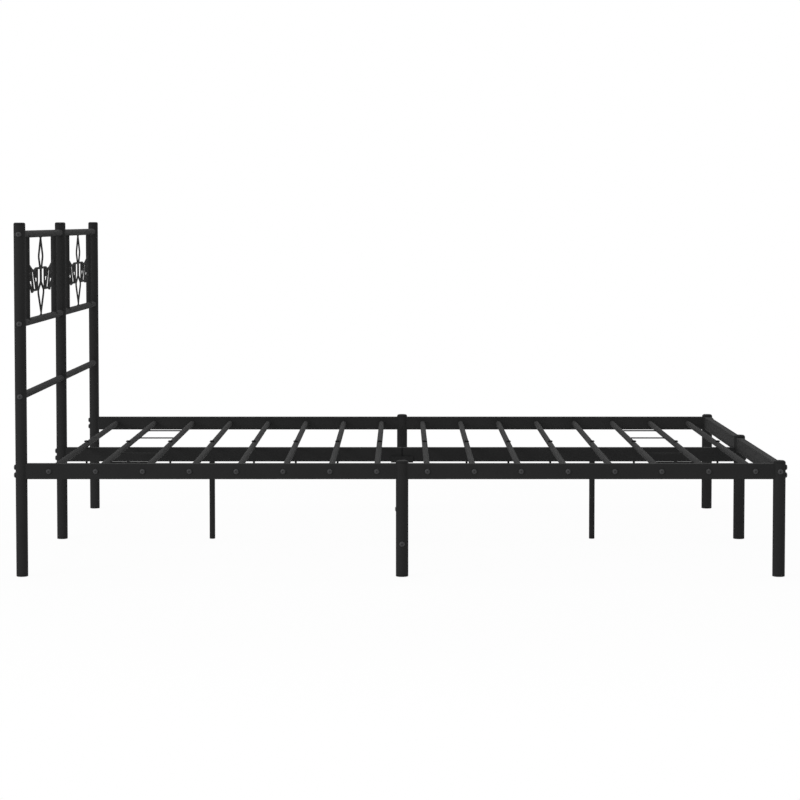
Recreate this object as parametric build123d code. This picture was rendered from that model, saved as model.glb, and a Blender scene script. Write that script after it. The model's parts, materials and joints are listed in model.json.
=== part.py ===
import os
from math import cos, radians, sin

from build123d import *

# Double bed frame in black steel tube. Head end at -X, foot end at +X, near side at -Y, floor at Z = 0.
# The origin lies on the floor, at the middle of the overall length and width. All sizes in millimetres.

# Layout in plan
row_spacing = 715.0            # centre row of posts to each outer row
slat_pitch = 120.0
slats_per_half = 8             # slats between the mid legs and each end
first_slat_offset = 65.0       # mid leg axis to the nearest slat
head_margin = 71.0             # last slat to the head post axis
foot_margin = 62.5             # last slat to the foot post axis

# Heights
headboard_height = 907.5       # floor to the top of the head post caps
rail_axis_z = 271.0            # side rails, foot rails and slats share this height
leg_over_rail = 1.0            # leg tube above the top of the rails
top_rail_drop = 30.0           # top cross rail axis below the top of the caps
panel_height = 228.5           # top cross rail to panel cross rail
lower_rail_drop = 186.0        # panel cross rail to lower cross rail
stretcher_z = 85.0

# Tubes
head_post_od = 30.0
leg_od = 32.0                  # foot posts and mid legs
post_wall = 1.5
rail_height = 40.0
rail_depth = 20.0
rail_wall = 1.5
beam_height = 40.0
beam_depth = 20.0
beam_wall = 1.5
corner_round = 2.0             # outer corners of the rectangular tubes
cross_rail_od = 19.0
cross_rail_wall = 1.2
upright_od = 16.0
upright_wall = 1.2
upright_offset = 113.0         # outer head post axis to the next panel upright
upright_inset = 130.0          # centre head post axis to the next panel upright
slat_od = 16.0
slat_wall = 1.2
support_leg_od = 16.0
support_leg_wall = 1.2
support_slat = 4               # the support legs stand under this slat, counted from the middle
stretcher_od = 16.0
stretcher_wall = 1.2
tie_rod_d = 4.0
tie_rod_drop = 2.5             # tie rod axis below the slat axis
tie_rod_inner_y = 231.0
tie_rod_outer_y = 471.0

# Fits
seat_gap = 0.1                 # coped tube end to the round tube that it meets
fit_gap = 0.1                  # plug or spigot to the bore around it
thread_gap = 0.05              # screw shank to its threaded hole
bolt_clearance = 0.4           # added to a shank for a plain hole

# Fasteners
bolt_d = 6.0
bolt_head_d = 14.0
bolt_head_height = 4.0
bolt_head_edge = 0.3           # straight edge below the rounded crown
socket_af = 4.0
socket_depth = 2.2
insert_d = 9.0                 # threaded insert crimped into the floor of the centre beam
insert_length = 12.0
insert_flange_d = 11.0
insert_flange = 0.6
insert_bulge_d = 12.0
insert_bulge = 4.0
bolt_end_show = 5.0            # slat bolt end below the centre beam
screw_d = 5.0
screw_head_d = 9.0             # countersunk at 90 degrees
screw_socket_af = 3.0
screw_socket_depth = 1.4
screw_bite = 8.0               # screw length inside a stub
rail_bolt_spacing = 20.0       # the two bolts of a rail end

# Plugs, stubs, caps and feet
plug_length = 20.0             # threaded plug inside a tube end
bolt_bite = 17.0               # bolt length inside a plug
stub_length = 30.0             # welded stub inside a rail end
pin_length = 30.0              # welded pin inside a cross rail end
slat_spigot = 25.0             # half of the overlap of the two slat tubes
slat_shoulder = 6.0
coupler_reach = 40.0           # stretcher coupler beyond the centre leg
beam_joint_gap = 3.0
splice_length = 104.0
saddle_length = 63.0
saddle_thickness = 3.0
saddle_flange = 15.5
saddle_screw_offset = 24.0
cap_height = 7.0
head_cap_round = 4.5
leg_cap_round = 6.5
cap_clearance = 1.0            # cap stem to the bolt hole below it
foot_height = 4.0
foot_round = 1.0
foot_stem = 16.0

# Scrollwork in the headboard panel, strips of one cut sheet in the plane of the posts.
# Its widths count from the panel's centre line, its heights from halfway between the cross rails.
sheet_thickness = 4.0
strip_width = 5.5
band_top = 22.0                # axis of the upper strip
band_bottom = -35.0            # axis of the lower strip
band_rise = 20.0               # upper strip's climb to the uprights
band_round = 12.0
band_lap = 10.0                # lower strip past the corner of the lower kite
dip_inset = 104.0              # dip of the upper strip to the upright's face
dip_depth = 7.0
dip_run = 40.0                 # the upper strip leaves its level this far before the dip
knee_inset = 72.0              # both strips turn to the upright this far from its face
upper_knee_drop = 2.0
lower_knee_drop = 4.0
lower_step_run = 26.0          # lower strip's slopes on both sides of its knee
lower_step_rise = 19.0
lower_end_rise = 2.0
lower_round = 5.0
window_width = 124.0           # axis to axis of the two strips beside the spear
spear_width = 16.0
spear_tip = -15.0
upper_kite_foot = 24.0         # width on the upper strip
upper_kite_width = 72.0
upper_kite_shoulder = 53.0
upper_kite_tip = 103.0
lower_kite_width = 104.0
lower_kite_shoulder = -39.0
lower_kite_tip = -97.0
kite_round = 9.0
brace_feet = (86.0, 133.0)     # lower ends of the two slanting strips of each side
brace_widths = (5.5, 10.0)
brace_head_drops = (7.0, -2.0)
brace_run = 39.0               # upper end beyond the lower end
brace_steep_run = 8.0          # of that, taken at each end by a steep stretch
brace_steep_rise = 13.0
brace_round = 14.0
upper_curl_u = 88.0
upper_curl_radius = 9.0
lower_curl_u = 76.5
lower_curl_radius = 7.5
outer_curl_inset = 36.0        # outer curl to the upright's face
outer_curl_height = -3.0
outer_curl_radius = 13.0
curl_sink = 1.0                # a curl runs into its strip by this
curl_turn = 250.0              # degrees of the outer turn of a curl
curl_inner_turn = 170.0
curl_inner_ratio = 0.5         # inner turn to outer turn

# Derived places
last_slat = first_slat_offset + (slats_per_half - 1) * slat_pitch
head_reach = last_slat + head_margin
foot_reach = last_slat + foot_margin
mid_x = (head_reach + head_post_od / 2 - foot_reach - leg_od / 2) / 2
head_x = mid_x - head_reach
foot_x = mid_x + foot_reach
near_y = -row_spacing
centre_y = 0.0
far_y = row_spacing
rows = {"near": near_y, "centre": centre_y, "far": far_y}
slat_offsets = [first_slat_offset + slat_pitch * step for step in range(slats_per_half)]
slat_xs = sorted(mid_x + side * offset for side in (-1, 1) for offset in slat_offsets)
support_xs = [mid_x - slat_offsets[support_slat], mid_x + slat_offsets[support_slat]]

leg_top_z = rail_axis_z + rail_height / 2 + leg_over_rail
slat_top_z = rail_axis_z + slat_od / 2
beam_top_z = rail_axis_z - slat_od / 2
beam_axis_z = beam_top_z - beam_height / 2
beam_bottom_z = beam_top_z - beam_height
saddle_bottom_z = beam_bottom_z - saddle_thickness
head_post_top_z = headboard_height - cap_height
top_rail_z = headboard_height - top_rail_drop
panel_rail_z = top_rail_z - panel_height
lower_rail_z = panel_rail_z - lower_rail_drop
cross_rail_zs = {"top": top_rail_z, "panel": panel_rail_z, "lower": lower_rail_z}

bolt_hole_d = bolt_d + bolt_clearance
cap_stem = leg_over_rail + (rail_height - rail_bolt_spacing - bolt_hole_d) / 2 - cap_clearance
bolt_thread_d = bolt_d + 2 * thread_gap
screw_hole_d = screw_d + bolt_clearance
screw_thread_d = screw_d + 2 * thread_gap
screw_head_height = (screw_head_d - screw_d) / 2
insert_hole_d = insert_d + 2 * fit_gap
to_foot = Vector(1, 0, 0)
to_head = Vector(-1, 0, 0)
to_far = Vector(0, 1, 0)
to_near = Vector(0, -1, 0)
up = Vector(0, 0, 1)
down = Vector(0, 0, -1)


# Basic solids

def rod(diameter, start, end):
    axis = end - start
    return extrude(Plane(start, z_dir=axis) * Circle(diameter / 2), amount=axis.length)


def tube(od, wall, start, end):
    return rod(od, start, end) - rod(od - 2 * wall, start, end)


def through_hole(diameter, point, heading, reach):
    return rod(diameter, point - heading * reach, point + heading * reach)


def bar_along(start, end, depth, height, corner=0.0):
    axis = end - start
    section = RectangleRounded(depth, height, corner) if corner > 0 else Rectangle(depth, height)
    return extrude(Plane(start, x_dir=axis.cross(up), z_dir=axis) * section, amount=axis.length)


def box_tube(start, end, depth, height, wall):
    outer = bar_along(start, end, depth, height, corner_round)
    return outer - bar_along(start, end, depth - 2 * wall, height - 2 * wall, corner_round - wall)


def post_seat(x, y, od):
    return rod(od + 2 * seat_gap, Vector(x, y, 0), Vector(x, y, headboard_height))


def facing(point, heading, piece):
    return Plane(point, z_dir=heading) * piece


def save(name, pieces):
    solids = [solid for piece in pieces for solid in piece.solids()]
    shape = solids[0] if len(solids) == 1 else Compound(solids)
    export_step(shape, f"parts/{name}.step")


# Fasteners with their shanks below Z = 0: a bolt has the underside of its head there, a screw its flat top

def button_bolt(length):
    head = Cylinder(bolt_head_d / 2, bolt_head_height, align=(Align.CENTER, Align.CENTER, Align.MIN))
    head = fillet(head.edges().group_by(Axis.Z)[-1], bolt_head_height - bolt_head_edge)
    socket_floor = Plane((0, 0, bolt_head_height - socket_depth))
    head -= extrude(socket_floor * RegularPolygon(socket_af / 2, 6, major_radius=False), amount=socket_depth)
    return head + Cylinder(bolt_d / 2, length, align=(Align.CENTER, Align.CENTER, Align.MAX))


def countersunk_screw(length):
    hung = (Align.CENTER, Align.CENTER, Align.MAX)
    screw = Cone(screw_d / 2, screw_head_d / 2, screw_head_height, align=hung)
    screw += Cylinder(screw_d / 2, length, align=hung)
    socket = RegularPolygon(screw_socket_af / 2, 6, major_radius=False)
    return screw - extrude(Plane((0, 0, -screw_socket_depth)) * socket, amount=screw_socket_depth)


def countersink(point, heading):
    # the seat of a screw head, wider than the head by the fit gap
    reach = screw_head_height + fit_gap
    seat = Cone(screw_d / 2, screw_d / 2 + 2 * reach, 2 * reach)
    return facing(point, heading, seat)


def threaded_insert():
    # the top of its flange at Z = 0, under the floor that it is crimped into
    seated = (Align.CENTER, Align.CENTER, Align.MIN)
    body = Cylinder(insert_d / 2, insert_length, align=seated)
    body += Pos(0, 0, beam_wall) * Cylinder(insert_bulge_d / 2, insert_bulge, align=seated)
    body += Cylinder(insert_flange_d / 2, insert_flange, align=(Align.CENTER, Align.CENTER, Align.MAX))
    return body - Cylinder(bolt_thread_d / 2, 2 * insert_length + 2 * insert_flange)


def bolts(length, places):
    bolt = button_bolt(length)
    return [facing(point, heading, bolt) for point, heading in places]


def screws(length, places):
    screw = countersunk_screw(length)
    return [facing(point, heading, screw) for point, heading in places]


# Posts and legs

def rail_bolt_zs(row):
    axis_z = beam_axis_z if row == "centre" else rail_axis_z
    return [axis_z - rail_bolt_spacing / 2, axis_z + rail_bolt_spacing / 2]


def post_tube(x, y, od, top_z):
    return tube(od, post_wall, Vector(x, y, foot_height), Vector(x, y, top_z))


def head_post(row):
    y = rows[row]
    post = post_tube(head_x, y, head_post_od, head_post_top_z)
    for z in rail_bolt_zs(row):
        post -= through_hole(bolt_hole_d, Vector(head_x, y, z), to_foot, head_post_od)
    if row != "centre":
        for z in cross_rail_zs.values():
            post -= through_hole(bolt_hole_d, Vector(head_x, y, z), to_far, head_post_od)
    return post


def foot_post(row):
    y = rows[row]
    post = post_tube(foot_x, y, leg_od, leg_top_z)
    for z in rail_bolt_zs(row):
        post -= through_hole(bolt_hole_d, Vector(foot_x, y, z), to_foot, leg_od)
    if row != "centre":
        post -= through_hole(bolt_hole_d, Vector(foot_x, y, rail_axis_z), to_far, leg_od)
    return post


def mid_leg(row):
    y = rows[row]
    centre = row == "centre"
    leg = post_tube(mid_x, y, leg_od, saddle_bottom_z if centre else leg_top_z)
    place = Vector(mid_x, y, stretcher_z)
    if centre:
        leg -= through_hole(coupler_d() + 2 * fit_gap, place, to_far, leg_od)
        leg -= through_hole(bolt_hole_d, place, to_foot, leg_od)
    else:
        leg -= through_hole(bolt_hole_d, place, to_far, leg_od)
    return leg


def post_cap(x, y, od, top_z, rounding):
    crown = Cylinder(od / 2, cap_height, align=(Align.CENTER, Align.CENTER, Align.MIN))
    crown = fillet(crown.edges().group_by(Axis.Z)[-1], rounding)
    stem_d = od - 2 * post_wall - 2 * fit_gap
    crown += Cylinder(stem_d / 2, cap_stem, align=(Align.CENTER, Align.CENTER, Align.MAX))
    return Pos(x, y, top_z) * crown


def leg_foot(x, y, od, wall):
    pad = Cylinder(od / 2, foot_height, align=(Align.CENTER, Align.CENTER, Align.MIN))
    pad = fillet(pad.edges().group_by(Axis.Z)[0], foot_round)
    stem_d = od - 2 * wall - 2 * fit_gap
    stem = Cylinder(stem_d / 2, foot_stem, align=(Align.CENTER, Align.CENTER, Align.MIN))
    return Pos(x, y, 0) * (pad + Pos(0, 0, foot_height) * stem)


# Rails and centre beam

def side_rail(y, start_x, start_od, end_x, end_od):
    rail = box_tube(Vector(start_x, y, rail_axis_z), Vector(end_x, y, rail_axis_z),
                    rail_depth, rail_height, rail_wall)
    rail -= post_seat(start_x, y, start_od)
    rail -= post_seat(end_x, y, end_od)
    for slat_x in slat_xs:
        if start_x < slat_x < end_x:
            rail -= through_hole(bolt_hole_d, Vector(slat_x, y, rail_axis_z), to_far, rail_depth)
    mid_side = 1 if start_x == mid_x else -1
    screw_at = stub_screw_place(mid_x, y, to_foot * mid_side)
    return rail - through_hole(screw_hole_d, screw_at, up, rail_wall * 2) - countersink(screw_at, down)


def foot_rail(outer_y):
    start = Vector(foot_x, min(outer_y, centre_y), rail_axis_z)
    end = Vector(foot_x, max(outer_y, centre_y), rail_axis_z)
    rail = box_tube(start, end, rail_depth, rail_height, rail_wall)
    rail -= post_seat(foot_x, outer_y, leg_od)
    rail -= post_seat(foot_x, centre_y, leg_od)
    heading = to_far if outer_y > centre_y else to_near
    screw_at = stub_screw_place(foot_x, centre_y, heading)
    return rail - through_hole(screw_hole_d, screw_at, up, rail_wall * 2) - countersink(screw_at, down)


def centre_beam(post_x, post_od, side):
    inner_x = mid_x + side * beam_joint_gap / 2
    start = Vector(min(post_x, inner_x), centre_y, beam_axis_z)
    end = Vector(max(post_x, inner_x), centre_y, beam_axis_z)
    beam = box_tube(start, end, beam_depth, beam_height, beam_wall)
    beam -= post_seat(post_x, centre_y, post_od)
    for slat_x in slat_xs:
        if start.X < slat_x < end.X:
            floor_hole_d = bolt_hole_d if slat_x in support_xs else insert_hole_d
            beam -= through_hole(bolt_hole_d, Vector(slat_x, centre_y, beam_top_z), up, beam_wall * 2)
            beam -= through_hole(floor_hole_d, Vector(slat_x, centre_y, beam_bottom_z), up, beam_wall * 2)
    screw_at = Vector(mid_x + side * saddle_screw_offset, centre_y, beam_bottom_z)
    return beam - through_hole(screw_hole_d, screw_at, up, beam_wall * 2)


def rail_insert(x, y, z, heading, post_od, length, depth, height):
    start = Vector(x, y, z)
    end = start + heading * (post_od / 2 + length)
    return bar_along(start, end, depth, height, corner_round) - post_seat(x, y, post_od)


def rail_plug(x, y, heading, post_od, z, bolt_zs):
    plug = rail_insert(x, y, z, heading, post_od, plug_length,
                       rail_depth - 2 * rail_wall - 2 * fit_gap, rail_height - 2 * rail_wall - 2 * fit_gap)
    for bolt_z in bolt_zs:
        plug -= through_hole(bolt_thread_d, Vector(x, y, bolt_z), heading, post_od + plug_length)
    return plug


def beam_plug(x, heading, post_od):
    plug = rail_insert(x, centre_y, beam_axis_z, heading, post_od, plug_length,
                       beam_depth - 2 * beam_wall - 2 * fit_gap, beam_height - 2 * beam_wall - 2 * fit_gap)
    for bolt_z in rail_bolt_zs("centre"):
        plug -= through_hole(bolt_thread_d, Vector(x, centre_y, bolt_z), heading, post_od + plug_length)
    return plug


def stub_screw_place(x, y, heading):
    return Vector(x, y, rail_axis_z - rail_height / 2) + heading * (leg_od / 2 + stub_length / 2)


def rail_stub(x, y, heading):
    stub = rail_insert(x, y, rail_axis_z, heading, leg_od, stub_length,
                       rail_depth - 2 * rail_wall - 2 * fit_gap, rail_height - 2 * rail_wall - 2 * fit_gap)
    screw_at = stub_screw_place(x, y, heading)
    stub -= through_hole(screw_thread_d, screw_at, up, rail_wall + screw_bite)
    return stub - countersink(screw_at, down)


def beam_splice():
    half = to_foot * (splice_length / 2)
    middle = Vector(mid_x, centre_y, beam_axis_z)
    splice = bar_along(middle - half, middle + half, beam_depth - 2 * beam_wall - 2 * fit_gap,
                       beam_height - 2 * beam_wall - 2 * fit_gap, corner_round)
    for side in (-1, 1):
        screw_at = Vector(mid_x + side * saddle_screw_offset, centre_y, beam_bottom_z)
        splice -= through_hole(screw_thread_d, screw_at, up, beam_wall + screw_bite)
    return splice


def beam_saddle():
    half = to_foot * (saddle_length / 2)
    inner_depth = beam_depth + 2 * fit_gap
    wall_z = saddle_bottom_z + (saddle_thickness + saddle_flange) / 2
    middle = Vector(mid_x, centre_y, wall_z)
    saddle = bar_along(middle - half, middle + half, inner_depth + 2 * saddle_thickness,
                       saddle_thickness + saddle_flange)
    lower_edges = saddle.edges().filter_by(Axis.X).group_by(Axis.Z)[0]
    saddle = fillet(lower_edges, saddle_thickness)
    bed = Vector(mid_x, centre_y, beam_bottom_z + beam_height / 2)
    saddle -= bar_along(bed - half, bed + half, inner_depth, beam_height)
    for side in (-1, 1):
        screw_at = Vector(mid_x + side * saddle_screw_offset, centre_y, saddle_bottom_z)
        saddle -= through_hole(screw_hole_d, screw_at, up, saddle_thickness * 2) + countersink(screw_at, down)
    return saddle


# Headboard

def cross_rail(outer_y, z):
    start = Vector(head_x, min(outer_y, centre_y), z)
    end = Vector(head_x, max(outer_y, centre_y), z)
    rail = tube(cross_rail_od, cross_rail_wall, start, end)
    return rail - post_seat(head_x, outer_y, head_post_od) - post_seat(head_x, centre_y, head_post_od)


def round_plug(x, y, z, heading, post_od, bore):
    start = Vector(x, y, z)
    end = start + heading * (post_od / 2 + plug_length)
    plug = rod(bore - 2 * fit_gap, start, end) - rod(bolt_thread_d, start, end)
    return plug - post_seat(x, y, post_od)


def cross_rail_pin(z, heading):
    start = Vector(head_x, centre_y, z)
    pin = rod(cross_rail_od - 2 * cross_rail_wall - 2 * fit_gap, start,
              start + heading * (head_post_od / 2 + pin_length))
    return pin - post_seat(head_x, centre_y, head_post_od)


def upright_ys(outer_y):
    side = 1 if outer_y > centre_y else -1
    return [outer_y - side * upright_offset, side * upright_inset]


def cross_rail_seats():
    seats = []
    for z in (top_rail_z, panel_rail_z):
        seats.append(rod(cross_rail_od + 2 * seat_gap, Vector(head_x, near_y, z), Vector(head_x, far_y, z)))
    return seats


def panel_upright(y):
    upright = tube(upright_od, upright_wall, Vector(head_x, y, panel_rail_z), Vector(head_x, y, top_rail_z))
    for seat in cross_rail_seats():
        upright -= seat
    return upright


def strip(*points):
    return trace(Line(*points), strip_width)


def bent_strip(points, radius, width=strip_width):
    return trace(FilletPolyline(*points, radius=radius), width)


def curl(centre, radius, start):
    # an outer turn that runs on in a tighter inner one
    shape = trace(CenterArc(centre, radius, start, curl_turn), strip_width)
    small = radius * curl_inner_ratio
    turned = radians(start + curl_turn)
    shift = Vector(cos(turned), sin(turned)) * (radius - small)
    return shape + trace(CenterArc(centre + shift, small, start + curl_turn, curl_inner_turn), strip_width)


def scroll_side(upright_u):
    # one side of the band and of the kites, u outwards and v upwards
    face_u = upright_u - upright_od / 2
    knee_u = face_u - knee_inset
    half_window = window_width / 2
    upper_side = (upper_kite_width / 2, upper_kite_shoulder)
    lower_side = (lower_kite_width / 2, lower_kite_shoulder)
    shape = bent_strip([(upper_kite_foot / 2, band_top), upper_side, (0, upper_kite_tip)], kite_round)
    shape += bent_strip([(0, spear_tip), lower_side, (0, lower_kite_tip)], kite_round)
    shape += strip((half_window, band_bottom), (half_window, band_top))
    knee_v = band_bottom - lower_knee_drop
    step_v = knee_v + lower_step_rise
    shape += bent_strip([(lower_kite_width / 2 - band_lap, band_bottom), (knee_u - lower_step_run, band_bottom),
                         (knee_u, knee_v), (knee_u + lower_step_run, step_v),
                         (upright_u, step_v + lower_end_rise)], lower_round)
    for foot_u, width, head_drop in zip(brace_feet, brace_widths, brace_head_drops):
        head_u = foot_u + brace_run
        head_v = band_top - head_drop
        shape += bent_strip([(head_u, head_v), (head_u - brace_steep_run, head_v - brace_steep_rise),
                             (foot_u + brace_steep_run, band_bottom + brace_steep_rise),
                             (foot_u, band_bottom)], brace_round, width)
    seat = strip_width - curl_sink
    shape += curl(Vector(upper_curl_u, band_top - seat - upper_curl_radius), upper_curl_radius, 90)
    shape += curl(Vector(lower_curl_u, band_bottom + seat + lower_curl_radius), lower_curl_radius, -90)
    return shape + curl(Vector(face_u - outer_curl_inset, outer_curl_height), outer_curl_radius, -90)


def scroll_outline(upright_u):
    face_u = upright_u - upright_od / 2
    half_strip = [(face_u - dip_inset - dip_run, band_top), (face_u - dip_inset, band_top - dip_depth),
                  (face_u - knee_inset, band_top - upper_knee_drop), (upright_u, band_top + band_rise)]
    other_half = [(-u, v) for u, v in reversed(half_strip)]
    shape = bent_strip(other_half + half_strip, band_round)
    shape += Pos(0, (band_top + spear_tip) / 2) * Rectangle(spear_width, band_top - spear_tip)
    shape += strip((0, upper_kite_tip - strip_width), (0, panel_height / 2))
    shape += strip((0, lower_kite_tip + strip_width), (0, -panel_height / 2))
    side = scroll_side(upright_u)
    return shape + side + mirror(side, about=Plane.YZ)


def scroll_panel(outer_y):
    low_y, high_y = sorted(upright_ys(outer_y))
    middle = Vector(head_x - sheet_thickness / 2, (low_y + high_y) / 2, (top_rail_z + panel_rail_z) / 2)
    outline = scroll_outline((high_y - low_y) / 2)
    panel = extrude(Plane(middle, x_dir=to_far, z_dir=to_foot) * outline, amount=sheet_thickness)
    for seat in cross_rail_seats():
        panel -= seat
    for y in (low_y, high_y):
        panel -= rod(upright_od + 2 * seat_gap, Vector(head_x, y, 0), Vector(head_x, y, headboard_height))
    return panel


# Slats, their tie rods and the support legs

def slat(x):
    rail_face = row_spacing - rail_depth / 2
    seam = -slat_spigot
    spigot_od = slat_od - 2 * slat_wall - 2 * fit_gap
    spigot_id = spigot_od - 2 * slat_wall

    def at(y):
        return Vector(x, y, rail_axis_z)

    near_half = rod(slat_od, at(-rail_face), at(seam)) + rod(spigot_od, at(seam), at(slat_spigot))
    near_half -= rod(slat_od - 2 * slat_wall, at(-rail_face), at(seam - slat_shoulder))
    near_half -= rod(spigot_id, at(seam - slat_shoulder), at(slat_spigot))
    far_half = tube(slat_od, slat_wall, at(seam + fit_gap), at(rail_face))
    bolt_hole = through_hole(bolt_hole_d, at(centre_y), up, slat_od)
    return [near_half - bolt_hole, far_half - bolt_hole]


def slat_plug(x, side):
    rail_face = row_spacing - rail_depth / 2
    start = Vector(x, side * rail_face, rail_axis_z)
    end = Vector(x, side * (rail_face - plug_length), rail_axis_z)
    return rod(slat_od - 2 * slat_wall - 2 * fit_gap, start, end) - rod(bolt_thread_d, start, end)


def tie_rods(first_x, second_x):
    pieces = []
    axis_z = rail_axis_z - tie_rod_drop
    for y in (-tie_rod_outer_y, -tie_rod_inner_y, tie_rod_inner_y, tie_rod_outer_y):
        piece = rod(tie_rod_d, Vector(first_x, y, axis_z), Vector(second_x, y, axis_z))
        for x in (first_x, second_x):
            piece -= through_hole(slat_od + 2 * seat_gap, Vector(x, y, rail_axis_z), to_far, tie_rod_d)
        pieces.append(piece)
    return pieces


def support_leg(x):
    top = Vector(x, centre_y, beam_bottom_z)
    return tube(support_leg_od, support_leg_wall, Vector(x, centre_y, foot_height), top)


def support_plug(x):
    top = Vector(x, centre_y, beam_bottom_z)
    plug = rod(support_leg_od - 2 * support_leg_wall - 2 * fit_gap, top, top + down * plug_length)
    return plug - rod(bolt_thread_d, top, top + down * plug_length)


# Stretcher between the mid legs

def coupler_d():
    return stretcher_od - 2 * stretcher_wall - 2 * fit_gap


def stretcher(outer_y):
    start = Vector(mid_x, min(outer_y, centre_y), stretcher_z)
    end = Vector(mid_x, max(outer_y, centre_y), stretcher_z)
    bar = tube(stretcher_od, stretcher_wall, start, end)
    return bar - post_seat(mid_x, outer_y, leg_od) - post_seat(mid_x, centre_y, leg_od)


def stretcher_coupler():
    reach = leg_od / 2 + coupler_reach
    middle = Vector(mid_x, centre_y, stretcher_z)
    coupler = through_hole(coupler_d(), middle, to_far, reach)
    return coupler - through_hole(bolt_thread_d, middle, to_foot, coupler_d())


# Groups of fasteners and hidden pieces

def rail_bolts():
    head_places = []
    foot_places = []
    for row, y in rows.items():
        for z in rail_bolt_zs(row):
            head_places.append((Vector(head_x - head_post_od / 2, y, z), to_head))
            foot_places.append((Vector(foot_x + leg_od / 2, y, z), to_foot))
    return bolts(head_post_od + bolt_bite, head_places) + bolts(leg_od + bolt_bite, foot_places)


def cross_bolts():
    head_places = []
    leg_places = []
    for y, heading in ((near_y, to_near), (far_y, to_far)):
        for z in cross_rail_zs.values():
            head_places.append((Vector(head_x, y, z) + heading * (head_post_od / 2), heading))
        leg_places.append((Vector(foot_x, y, rail_axis_z) + heading * (leg_od / 2), heading))
        leg_places.append((Vector(mid_x, y, stretcher_z) + heading * (leg_od / 2), heading))
    coupler_place = (Vector(mid_x - leg_od / 2, centre_y, stretcher_z), to_head)
    pieces = bolts(head_post_od + bolt_bite, head_places) + bolts(leg_od + bolt_bite, leg_places)
    return pieces + bolts(leg_od / 2 + coupler_d() / 2, [coupler_place])


def slat_end_bolts():
    rail_outside = row_spacing + rail_depth / 2
    places = []
    for x in slat_xs:
        places.append((Vector(x, -rail_outside, rail_axis_z), to_near))
        places.append((Vector(x, rail_outside, rail_axis_z), to_far))
    return bolts(rail_depth + bolt_bite, places)


def slat_centre_bolts():
    grip = slat_od + beam_height
    beam_places = [(Vector(x, centre_y, slat_top_z), up) for x in slat_xs if x not in support_xs]
    leg_places = [(Vector(x, centre_y, slat_top_z), up) for x in support_xs]
    return bolts(grip + bolt_end_show, beam_places) + bolts(grip + bolt_bite, leg_places)


def beam_inserts():
    insert = threaded_insert()
    return [Pos(x, centre_y, beam_bottom_z) * insert for x in slat_xs if x not in support_xs]


def end_plugs():
    pieces = []
    for row in ("near", "far"):
        y = rows[row]
        inward = to_far if row == "near" else to_near
        pieces.append(rail_plug(head_x, y, to_foot, head_post_od, rail_axis_z, rail_bolt_zs(row)))
        pieces.append(rail_plug(foot_x, y, to_head, leg_od, rail_axis_z, rail_bolt_zs(row)))
        pieces.append(rail_plug(foot_x, y, inward, leg_od, rail_axis_z, [rail_axis_z]))
        for z in cross_rail_zs.values():
            pieces.append(round_plug(head_x, y, z, inward, head_post_od, cross_rail_od - 2 * cross_rail_wall))
        pieces.append(round_plug(mid_x, y, stretcher_z, inward, leg_od, stretcher_od - 2 * stretcher_wall))
    pieces.append(beam_plug(head_x, to_foot, head_post_od))
    pieces.append(beam_plug(foot_x, to_head, leg_od))
    for x in slat_xs:
        pieces.append(slat_plug(x, -1))
        pieces.append(slat_plug(x, 1))
    for x in support_xs:
        pieces.append(support_plug(x))
    return pieces


def stub_places():
    places = [(foot_x, centre_y, to_near), (foot_x, centre_y, to_far)]
    for y in (near_y, far_y):
        places.append((mid_x, y, to_head))
        places.append((mid_x, y, to_foot))
    return places


def post_stubs():
    pieces = [rail_stub(x, y, heading) for x, y, heading in stub_places()]
    for z in cross_rail_zs.values():
        pieces.append(cross_rail_pin(z, to_near))
        pieces.append(cross_rail_pin(z, to_far))
    return pieces


def stub_screws():
    rail_places = [(stub_screw_place(x, y, heading), down) for x, y, heading in stub_places()]
    saddle_places = []
    for side in (-1, 1):
        saddle_places.append((Vector(mid_x + side * saddle_screw_offset, centre_y, saddle_bottom_z), down))
    saddle_length_in = saddle_thickness + beam_wall + screw_bite
    return screws(rail_wall + screw_bite, rail_places) + screws(saddle_length_in, saddle_places)


def post_caps():
    pieces = [post_cap(head_x, y, head_post_od, head_post_top_z, head_cap_round) for y in rows.values()]
    pieces += [post_cap(foot_x, y, leg_od, leg_top_z, leg_cap_round) for y in rows.values()]
    return pieces + [post_cap(mid_x, y, leg_od, leg_top_z, leg_cap_round) for y in (near_y, far_y)]


def leg_feet():
    pieces = [leg_foot(head_x, y, head_post_od, post_wall) for y in rows.values()]
    for x in (mid_x, foot_x):
        pieces += [leg_foot(x, y, leg_od, post_wall) for y in rows.values()]
    return pieces + [leg_foot(x, centre_y, support_leg_od, support_leg_wall) for x in support_xs]


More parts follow.
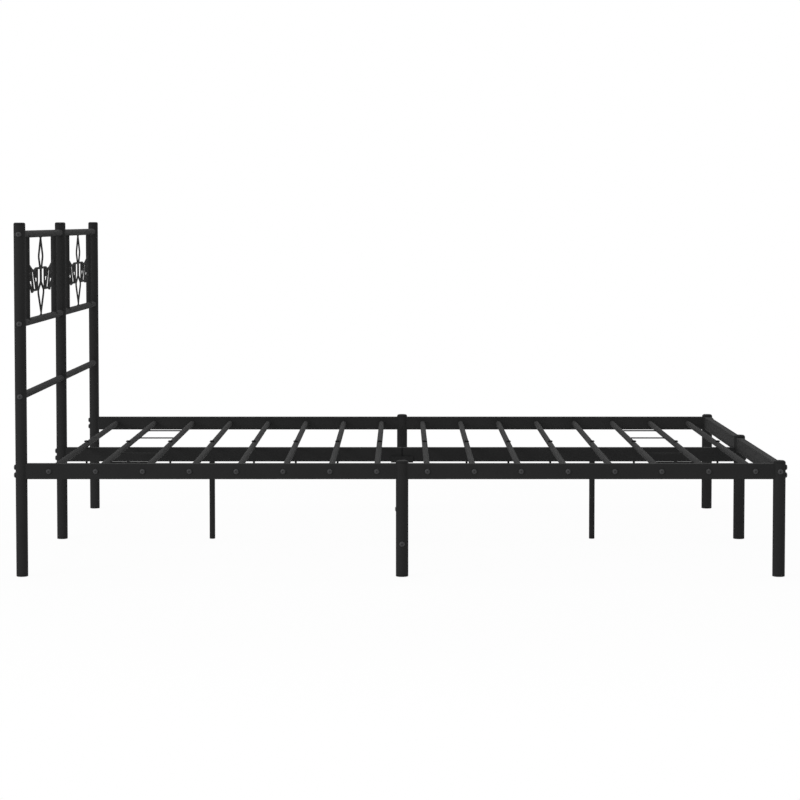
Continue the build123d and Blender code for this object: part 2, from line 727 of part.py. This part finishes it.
def main():
    os.makedirs("parts", exist_ok=True)
    for row in rows:
        save(f"head_post_{row}", [head_post(row)])
        save(f"foot_post_{row}", [foot_post(row)])
        save(f"mid_leg_{row}", [mid_leg(row)])
    for row in ("near", "far"):
        y = rows[row]
        save(f"side_rail_{row}_head", [side_rail(y, head_x, head_post_od, mid_x, leg_od)])
        save(f"side_rail_{row}_foot", [side_rail(y, mid_x, leg_od, foot_x, leg_od)])
        save(f"foot_rail_{row}", [foot_rail(y)])
        for level, z in cross_rail_zs.items():
            save(f"head_{level}_rail_{row}", [cross_rail(y, z)])
        save(f"panel_uprights_{row}", [panel_upright(upright_y) for upright_y in upright_ys(y)])
        save(f"scroll_panel_{row}", [scroll_panel(y)])
        save(f"stretcher_{row}", [stretcher(y)])
    save("centre_beam_head", [centre_beam(head_x, head_post_od, -1)])
    save("centre_beam_foot", [centre_beam(foot_x, leg_od, 1)])
    save("beam_splice", [beam_splice()])
    save("beam_saddle", [beam_saddle()])
    for number, x in enumerate(slat_xs, start=1):
        save(f"slat_{number:02d}", slat(x))
    save("tie_rods", tie_rods(slat_xs[1], slat_xs[2]) + tie_rods(slat_xs[-3], slat_xs[-2]))
    save("support_legs", [support_leg(x) for x in support_xs])
    save("stretcher_coupler", [stretcher_coupler()])
    save("post_caps", post_caps())
    save("leg_feet", leg_feet())
    save("rail_bolts", rail_bolts())
    save("cross_bolts", cross_bolts())
    save("slat_end_bolts", slat_end_bolts())
    save("slat_centre_bolts", slat_centre_bolts())
    save("beam_inserts", beam_inserts())
    save("end_plugs", end_plugs())
    save("post_stubs", post_stubs())
    save("stub_screws", stub_screws())


main()
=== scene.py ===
import json
import math

import bpy
from mathutils import Matrix, Vector


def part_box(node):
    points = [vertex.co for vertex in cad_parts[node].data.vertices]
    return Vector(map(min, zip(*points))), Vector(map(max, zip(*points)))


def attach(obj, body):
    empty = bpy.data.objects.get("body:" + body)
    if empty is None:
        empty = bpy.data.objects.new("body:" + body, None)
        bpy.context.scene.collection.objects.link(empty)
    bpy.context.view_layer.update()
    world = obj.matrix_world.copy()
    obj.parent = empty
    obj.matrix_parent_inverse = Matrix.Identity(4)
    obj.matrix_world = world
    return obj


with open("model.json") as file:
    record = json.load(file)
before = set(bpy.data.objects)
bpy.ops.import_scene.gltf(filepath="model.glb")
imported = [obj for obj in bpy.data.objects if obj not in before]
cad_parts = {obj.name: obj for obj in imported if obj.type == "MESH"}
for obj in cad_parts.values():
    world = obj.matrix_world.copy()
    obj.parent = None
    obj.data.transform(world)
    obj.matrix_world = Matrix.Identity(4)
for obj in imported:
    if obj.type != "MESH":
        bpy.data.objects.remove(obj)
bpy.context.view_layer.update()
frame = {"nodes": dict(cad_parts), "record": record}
sides = ("near", "far")
wayX = Vector((1.0, 0.0, 0.0))
wayY = Vector((0.0, 1.0, 0.0))
wayZ = Vector((0.0, 0.0, 1.0))
print("frame loaded:", len(frame["nodes"]), "nodes")


def deselectAll():
    bpy.ops.object.select_all(action="DESELECT")


def boxOf(node):
    low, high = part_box(node)
    return Vector(low), Vector(high)


# shader node helpers

def mathIn(tree, operation, first, second):
    node = tree.nodes.new("ShaderNodeMath")
    node.operation = operation
    for index, value in enumerate((first, second)):
        if isinstance(value, float):
            node.inputs[index].default_value = value
        else:
            tree.links.new(value, node.inputs[index])
    return node.outputs["Value"]


def mixIn(tree, factor, first, second, outputType):
    # goes from the first shader to the second as the factor rises, and ends the tree
    mix = tree.nodes.new("ShaderNodeMixShader")
    result = tree.nodes.new(outputType)
    tree.links.new(factor, mix.inputs["Fac"])
    tree.links.new(first, mix.inputs[1])
    tree.links.new(second, mix.inputs[2])
    tree.links.new(mix.outputs["Shader"], result.inputs["Surface"])


# the texture that all finishes share

coatLayers = {"Wave": {"detail": 2.0, "roughness": 0.45},
              "Grain": {"detail": 1.0, "roughness": 0.5},
              "Drift": {"detail": 3.0, "roughness": 0.55}}
coatSockets = {"Wave Scale": "waveScale", "Grain Scale": "grainScale", "Drift Scale": "driftScale",
               "Grain Share": "grainShare"}   # each socket and the setting of a look that fills it
glossGain = 2.0   # the product of two noises is about a quarter, and this brings it to about a half


def noiseIn(group, source, layer):
    noise = group.nodes.new("ShaderNodeTexNoise")
    noise.inputs["Detail"].default_value = coatLayers[layer]["detail"]
    noise.inputs["Roughness"].default_value = coatLayers[layer]["roughness"]
    group.links.new(source.outputs["Vector"], noise.inputs["Vector"])
    group.links.new(source.outputs[f"{layer} Scale"], noise.inputs["Scale"])
    return noise.outputs["Fac"]


def makeCoatGroup():
    # soft waves of a baked coat, fine powder grain on them, and slow drift of tone and gloss
    group = bpy.data.node_groups.new("bakedCoat", "ShaderNodeTree")
    group.interface.new_socket("Vector", in_out="INPUT", socket_type="NodeSocketVector")
    for socketName in coatSockets:
        group.interface.new_socket(socketName, in_out="INPUT", socket_type="NodeSocketFloat")
    for socketName in ("Height", "Tone", "Gloss"):
        group.interface.new_socket(socketName, in_out="OUTPUT", socket_type="NodeSocketFloat")
    source = group.nodes.new("NodeGroupInput")
    result = group.nodes.new("NodeGroupOutput")
    waves = noiseIn(group, source, "Wave")
    grain = noiseIn(group, source, "Grain")
    drift = noiseIn(group, source, "Drift")
    grainPart = mathIn(group, "MULTIPLY", grain, source.outputs["Grain Share"])
    gloss = mathIn(group, "MULTIPLY", drift, grain)
    group.links.new(mathIn(group, "ADD", waves, grainPart), result.inputs["Height"])
    group.links.new(drift, result.inputs["Tone"])
    group.links.new(mathIn(group, "MULTIPLY", gloss, glossGain), result.inputs["Gloss"])
    return group


coatGroup = makeCoatGroup()


# finishes

def newFinish(name, look):
    material = bpy.data.materials.new(name)
    material.use_nodes = True
    nodes = material.node_tree.nodes
    links = material.node_tree.links
    shader = nodes["Principled BSDF"]
    coords = nodes.new("ShaderNodeTexCoord")
    coat = nodes.new("ShaderNodeGroup")
    coat.node_tree = coatGroup
    for socketName, setting in coatSockets.items():
        coat.inputs[socketName].default_value = look[setting]
    links.new(coords.outputs["Object"], coat.inputs["Vector"])
    tone = nodes.new("ShaderNodeMix")
    tone.data_type = "RGBA"
    tone.inputs["A"].default_value = (*look["deep"], 1.0)
    tone.inputs["B"].default_value = (*look["light"], 1.0)
    links.new(coat.outputs["Tone"], tone.inputs["Factor"])
    links.new(tone.outputs["Result"], shader.inputs["Base Color"])
    gloss = nodes.new("ShaderNodeMapRange")
    gloss.inputs["To Min"].default_value = look["roughLow"]
    gloss.inputs["To Max"].default_value = look["roughHigh"]
    links.new(coat.outputs["Gloss"], gloss.inputs["Value"])
    links.new(gloss.outputs["Result"], shader.inputs["Roughness"])
    bump = nodes.new("ShaderNodeBump")
    bump.inputs["Strength"].default_value = look["bumpStrength"]
    bump.inputs["Distance"].default_value = look["bumpDepth"]
    links.new(coat.outputs["Height"], bump.inputs["Height"])
    links.new(bump.outputs["Normal"], shader.inputs["Normal"])
    shader.inputs["Metallic"].default_value = look["metallic"]
    shader.inputs["Specular IOR Level"].default_value = look["specular"]
    return material


coatLook = {"deep": (0.0190, 0.0190, 0.0191), "light": (0.0295, 0.0295, 0.0297),
            "roughLow": 0.74, "roughHigh": 0.92, "metallic": 0.0, "specular": 0.08,
            "waveScale": 420.0, "grainScale": 2400.0, "driftScale": 7.0, "grainShare": 0.3,
            "bumpStrength": 0.55, "bumpDepth": 0.0003}
plasticLook = {"deep": (0.010, 0.010, 0.0102), "light": (0.015, 0.015, 0.0152),
               "roughLow": 0.66, "roughHigh": 0.82, "metallic": 0.0, "specular": 0.12,
               "waveScale": 900.0, "grainScale": 3600.0, "driftScale": 30.0, "grainShare": 1.0,
               "bumpStrength": 0.3, "bumpDepth": 0.00015}
# painted highlight: the bolts' colour is lighter than the coat, standing in for light caught on the tops of
# their heads
boltPaintedHighlightLook = {"deep": (0.032, 0.032, 0.033), "light": (0.058, 0.058, 0.060),
            "roughLow": 0.42, "roughHigh": 0.58, "metallic": 0.25, "specular": 0.30,
            "waveScale": 1500.0, "grainScale": 5200.0, "driftScale": 160.0, "grainShare": 0.6,
            "bumpStrength": 0.2, "bumpDepth": 0.0001}
# painted shade: a near-black finish for parts in the beam's slit and at the slat joints, standing in for the
# shade there
paintedShadeLook = {"deep": (0.006, 0.006, 0.0062), "light": (0.011, 0.011, 0.0113),
             "roughLow": 0.74, "roughHigh": 0.90, "metallic": 0.0, "specular": 0.06,
             "waveScale": 1200.0, "grainScale": 4600.0, "driftScale": 90.0, "grainShare": 0.8,
             "bumpStrength": 0.25, "bumpDepth": 0.0001}
steelLook = {"deep": (0.36, 0.36, 0.37), "light": (0.52, 0.52, 0.53),
             "roughLow": 0.30, "roughHigh": 0.48, "metallic": 1.0, "specular": 0.5,
             "waveScale": 700.0, "grainScale": 4200.0, "driftScale": 60.0, "grainShare": 0.8,
             "bumpStrength": 0.2, "bumpDepth": 0.0001}

finishes = {"black_powder_coat": newFinish("blackPowderCoat", coatLook),
            "black_plastic": newFinish("blackPlastic", plasticLook),
            "black_bolt": newFinish("blackBolt", boltPaintedHighlightLook),
            "plain_steel": newFinish("plainSteel", steelLook)}
paintedShadeFinish = newFinish("paintedShadeFinish", paintedShadeLook)
paintedShadeNodes = ("beam_splice", "beam_inserts", "slat_centre_bolts")   # painted shade: far darker than the coat around them, so the beam's slit and the slat joints look shaded


def dressNodes():
    for part in frame["record"]["subparts"]:
        mesh = frame["nodes"][part["node"]].data
        mesh.materials.clear()
        mesh.materials.append(paintedShadeFinish if part["node"] in paintedShadeNodes else finishes[part["material_slot"]])


dressNodes()
print("finishes on all nodes")


# weld beads at the panel uprights, the scrollwork and the tie rods

welds = {"slot": "black_powder_coat", "smoothAngle": 40.0}   # in degrees, edges past it stay sharp


def finishWelds(name, beads):
    # makes one named piece of the beads
    deselectAll()
    for bead in beads:
        bead.select_set(True)
    bpy.context.view_layer.objects.active = beads[0]
    bpy.ops.object.join()
    piece = bpy.context.object
    piece.name = name
    piece.data.name = name
    piece.data.materials.append(finishes[welds["slot"]])
    bpy.ops.object.shade_smooth_by_angle(angle=math.radians(welds["smoothAngle"]))
    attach(piece, "root")


def addBeadRing(bead, place, barRadius, tubeRadius, barWay, tubeWay, lift=0.0):
    # the ring lies on the tube, around a round bar that stands on it along barWay
    # lift is the height of the bar's axis above the tube's
    deselectAll()
    bpy.ops.mesh.primitive_torus_add(major_radius=barRadius, minor_radius=bead["radius"],
                                     major_segments=bead["steps"], minor_segments=bead["profile"])
    ring = bpy.context.object
    crossWay = barWay.cross(tubeWay)
    aside = lift * crossWay.z
    for vertex in ring.data.vertices:
        angle = math.atan2(vertex.co.y, vertex.co.x)
        swell = 1.0 + bead["ripple"] * math.sin(bead["ripples"] * angle)
        outward = (math.hypot(vertex.co.x, vertex.co.y) - barRadius) * swell
        across = barRadius * math.sin(angle) + aside
        vertex.co.z = vertex.co.z * swell + math.sqrt(tubeRadius ** 2 - across ** 2)
        vertex.co.x = (barRadius + outward) * math.cos(angle)
        vertex.co.y = (barRadius + outward) * math.sin(angle) + aside
    turn = Matrix((tubeWay, crossWay, barWay)).transposed().to_4x4()
    ring.matrix_world = Matrix.Translation(place) @ turn
    bpy.ops.object.transform_apply(location=True, rotation=True, scale=True)
    return ring


uprightBead = {"radius": 0.0021, "steps": 64, "profile": 10, "ripples": 19, "ripple": 0.10}


def makeUprightWelds(side):
    low, high = boxOf(f"panel_uprights_{side}")
    barRadius = (high.x - low.x) / 2
    rings = []
    for level, barWay in (("top", -wayZ), ("panel", wayZ)):
        railLow, railHigh = boxOf(f"head_{level}_rail_{side}")
        tubeRadius = (railHigh.z - railLow.z) / 2
        railMiddle = (railLow + railHigh) / 2
        for y in (low.y + barRadius, high.y - barRadius):
            place = Vector((railMiddle.x, y, railMiddle.z))
            rings.append(addBeadRing(uprightBead, place, barRadius, tubeRadius, barWay, wayY))
    finishWelds(f"upright_welds_{side}", rings)


rodBead = {"radius": 0.0010, "steps": 28, "profile": 8, "ripples": 9, "ripple": 0.10}
tieRods = {"slatPairs": ((2, 3), (14, 15)), "offsets": (0.231, 0.471)}   # offsets from the bed's middle line


def slatMiddle(number):
    low, high = boxOf(f"slat_{number:02d}")
    return (low + high) / 2, (high.z - low.z) / 2


def makeTieRodWelds():
    low, high = boxOf("tie_rods")
    barRadius = (high.z - low.z) / 2
    rodZ = (low.z + high.z) / 2
    rings = []
    for first, second in tieRods["slatPairs"]:
        for number, barWay in ((first, wayX), (second, -wayX)):
            middle, tubeRadius = slatMiddle(number)
            for offset in tieRods["offsets"]:
                for y in (-offset, offset):
                    place = Vector((middle.x, y, middle.z))
                    rings.append(addBeadRing(rodBead, place, barRadius, tubeRadius, barWay, wayY,
                                             lift=rodZ - middle.z))
    finishWelds("tie_rod_welds", rings)


scrollBead = {"radius": 0.0017, "overrun": 1.12, "steps": 20, "profile": 12, "ripples": 5, "ripple": 0.12,
              "reach": 0.0008,    # a strip ends within this of the panel's edge
              "endGap": 0.0168}   # points further apart than this are on different strip ends


def stripEnds(points, edge, acrossWay, alongWay):
    # the middles and half lengths of the strip ends that touch one edge of the panel
    onEdge = [point for point in points if abs(point.dot(acrossWay) - edge) < scrollBead["reach"]]
    marks = sorted(point.dot(alongWay) for point in onEdge)
    groups = [[marks[0]]]
    for mark in marks[1:]:
        if mark - groups[-1][-1] > scrollBead["endGap"]:
            groups.append([])
        groups[-1].append(mark)
    return [((group[0] + group[-1]) / 2, (group[-1] - group[0]) / 2) for group in groups]


def addBeadRun(bead, place, halfLength, runWay):
    # a short run of weld along runWay, thicker at each ripple
    deselectAll()
    bpy.ops.mesh.primitive_uv_sphere_add(radius=1.0, segments=bead["profile"], ring_count=bead["steps"])
    run = bpy.context.object
    for vertex in run.data.vertices:
        swell = bead["radius"] * (1.0 + bead["ripple"] * math.cos(bead["ripples"] * math.pi * vertex.co.z))
        vertex.co.x *= swell
        vertex.co.y *= swell
        vertex.co.z *= halfLength * bead["overrun"]
    run.matrix_world = Matrix.Translation(place) @ runWay.to_track_quat("Z", "X").to_matrix().to_4x4()
    bpy.ops.object.transform_apply(location=True, rotation=True, scale=True)
    return run


def makeScrollWelds(side):
    # on both faces of the panel, where its strips meet the uprights and the cross rails
    node = f"scroll_panel_{side}"
    low, high = boxOf(node)
    points = [vertex.co.copy() for vertex in frame["nodes"][node].data.vertices]
    runs = []
    for faceX in (low.x, high.x):
        for acrossWay, alongWay in ((wayY, wayZ), (wayZ, wayY)):
            for edge in (low.dot(acrossWay), high.dot(acrossWay)):
                for middle, halfLength in stripEnds(points, edge, acrossWay, alongWay):
                    place = faceX * wayX + edge * acrossWay + middle * alongWay
                    runs.append(addBeadRun(scrollBead, place, halfLength, alongWay))
    finishWelds(f"scroll_welds_{side}", runs)
    print("scroll welds", side, len(runs))


for side in sides:
    makeUprightWelds(side)
    makeScrollWelds(side)
makeTieRodWelds()
print("weld beads done")


# floor, light and camera

studio = {"backdrop": 1.0, "worldFill": 0.50, "floorSize": 60.0, "floorColour": 0.85, "floorGlow": 0.95,
          "fadeStart": 1.3, "fadeEnd": 2.6}   # the floor turns to plain white between these distances


def addBackdropSwitch(tree):
    # 1 for rays that should meet a plain white background
    path = tree.nodes.new("ShaderNodeLightPath")
    cameraOrGlossy = mathIn(tree, "MAXIMUM", path.outputs["Is Camera Ray"], path.outputs["Is Glossy Ray"])
    return mathIn(tree, "MAXIMUM", cameraOrGlossy, path.outputs["Is Transmission Ray"])


def addWhite(tree, strength):
    white = tree.nodes.new("ShaderNodeBackground")
    white.inputs["Color"].default_value = (1.0, 1.0, 1.0, 1.0)
    white.inputs["Strength"].default_value = strength
    return white.outputs["Background"]


def makeWorld():
    world = bpy.data.worlds.new("studioWorld")
    world.use_nodes = True
    tree = world.node_tree
    tree.nodes.clear()
    fill = addWhite(tree, studio["worldFill"])
    seen = addWhite(tree, studio["backdrop"])
    mixIn(tree, addBackdropSwitch(tree), fill, seen, "ShaderNodeOutputWorld")
    bpy.context.scene.world = world


def newFloorFinish():
    # pale paper around the bed, plain white further out
    material = bpy.data.materials.new("whiteFloor")
    material.use_nodes = True
    tree = material.node_tree
    tree.nodes.clear()
    paper = tree.nodes.new("ShaderNodeBsdfDiffuse")
    paper.inputs["Color"].default_value = (studio["floorColour"],) * 3 + (1.0,)
    glow = tree.nodes.new("ShaderNodeEmission")
    coords = tree.nodes.new("ShaderNodeTexCoord")
    reach = tree.nodes.new("ShaderNodeVectorMath")
    reach.operation = "LENGTH"
    fade = tree.nodes.new("ShaderNodeMapRange")
    fade.interpolation_type = "SMOOTHSTEP"
    fade.inputs["From Min"].default_value = studio["fadeStart"]
    fade.inputs["From Max"].default_value = studio["fadeEnd"]
    fade.inputs["To Min"].default_value = studio["floorGlow"]
    tree.links.new(coords.outputs["Object"], reach.inputs[0])
    tree.links.new(reach.outputs["Value"], fade.inputs["Value"])
    share = mathIn(tree, "MULTIPLY", addBackdropSwitch(tree), fade.outputs["Result"])
    mixIn(tree, share, paper.outputs["BSDF"], glow.outputs["Emission"], "ShaderNodeOutputMaterial")
    return material


def makeFloor():
    deselectAll()
    bpy.ops.mesh.primitive_plane_add(size=studio["floorSize"])
    floor = bpy.context.object
    floor.name = "studioFloor"
    floor.data.materials.append(newFloorFinish())


lamps = {"headSoftbox": {"place": (-8.0, -5.6, 3.6), "size": 4.0, "power": 300.0},
         "ceilingSoftbox": {"place": (-0.4, 0.4, 4.6), "size": 4.0, "power": 90.0}}
lampTarget = Vector((0.0, 0.0, 0.35))


def makeLamps():
    for name, lamp in lamps.items():
        place = Vector(lamp["place"])
        deselectAll()
        bpy.ops.object.light_add(type="AREA", location=place)
        light = bpy.context.object
        light.name = name
        light.data.size = lamp["size"]
        light.data.energy = lamp["power"]
        light.rotation_euler = (lampTarget - place).to_track_quat("-Z", "Y").to_euler()


viewpoint = {"place": (0.00375, -6.7127, 0.9137), "tiltDown": 3.034, "lens": 105.7, "sensor": 36.0,
             "shiftX": -0.0026, "shiftY": -0.0692}


def makeCamera():
    deselectAll()
    pitch = math.radians(90.0 - viewpoint["tiltDown"])   # 90 degrees looks level
    bpy.ops.object.camera_add(location=viewpoint["place"], rotation=(pitch, 0.0, 0.0))
    camera = bpy.context.object
    camera.name = "photoCamera"
    camera.data.sensor_width = viewpoint["sensor"]
    camera.data.lens = viewpoint["lens"]
    camera.data.shift_x = viewpoint["shiftX"]
    camera.data.shift_y = viewpoint["shiftY"]
    bpy.context.scene.camera = camera


makeWorld()
makeFloor()
makeLamps()
makeCamera()
bpy.context.scene.view_settings.view_transform = "Standard"
print("studio and camera done")
